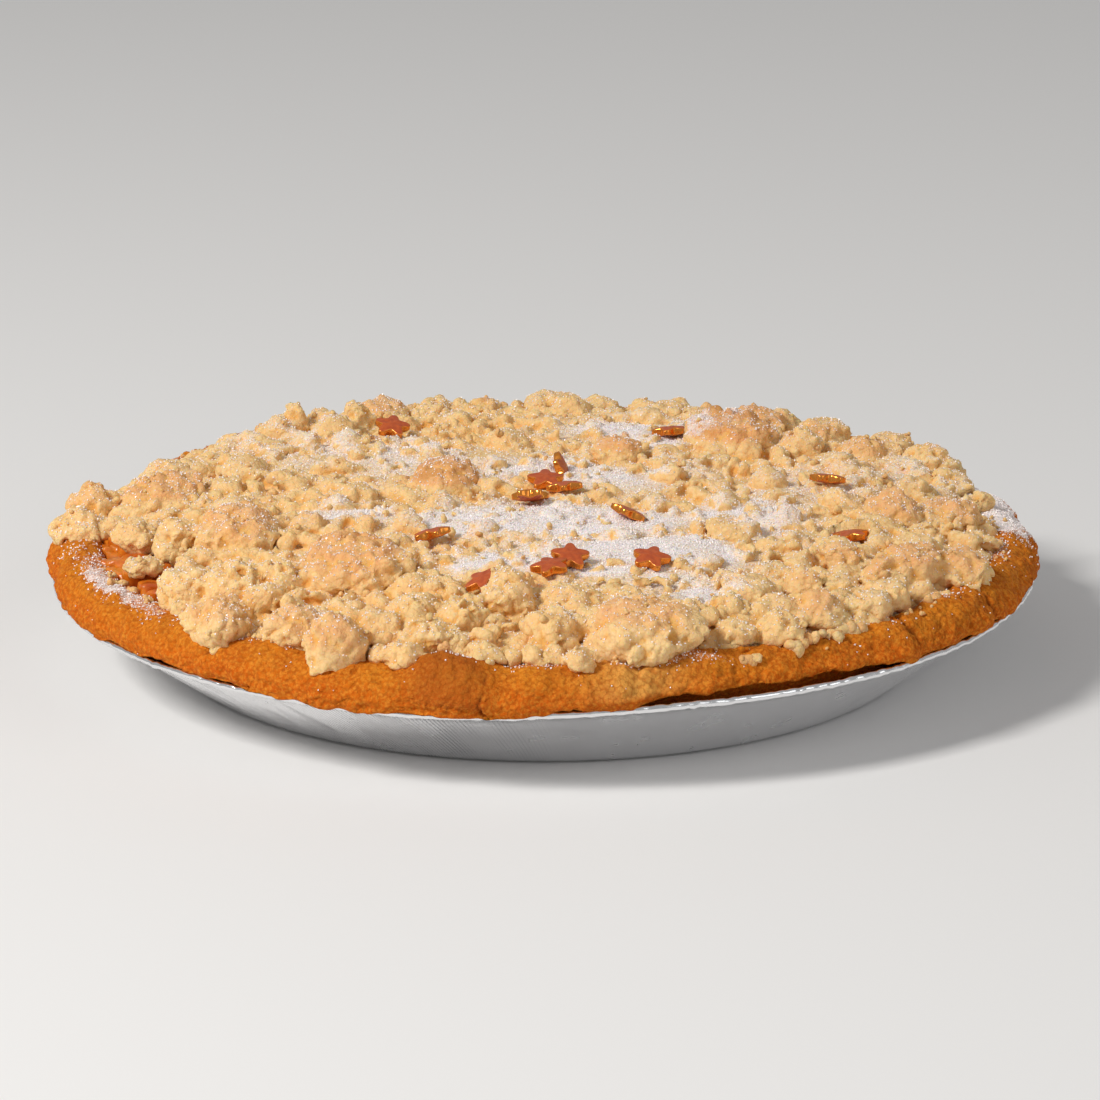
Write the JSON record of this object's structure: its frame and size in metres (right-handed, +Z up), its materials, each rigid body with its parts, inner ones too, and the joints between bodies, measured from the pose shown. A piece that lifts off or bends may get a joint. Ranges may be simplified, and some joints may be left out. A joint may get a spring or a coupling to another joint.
{
  "type": "apple crumble pie",
  "caption": "Round apple crumble pie in a shallow foil tin: shortcrust shell with an overhanging rim, apple filling and a craggy crumble heap with star sprinkles.",
  "frame": {"origin": "centre of the tin's underside, on the surface it stands on", "axes": "+Z up through the middle of the pie; -Y faces the viewer, +X to the viewer's right"},
  "size_m": [0.2172, 0.218, 0.0411],
  "materials": {
    "foil": "thin bright rolled foil, finely ribbed wall, crimped bead",
    "pastry": "baked shortcrust, golden brown, fine pores and cracks",
    "apple": "cooked apple in amber syrup, glossy",
    "crumble": "pale golden baked crumbs, sandy grain, browned on top",
    "sprinkle": "copper-coloured pearl sugar stars with golden edges",
    "sugar": "fine white sugar crystals"
  },
  "bodies": {
    "root": {"foil_tin": "foil", "pastry_crust": "pastry", "apple_filling": "apple", "crumble_topping": "crumble"}
  },
  "joints": []
}
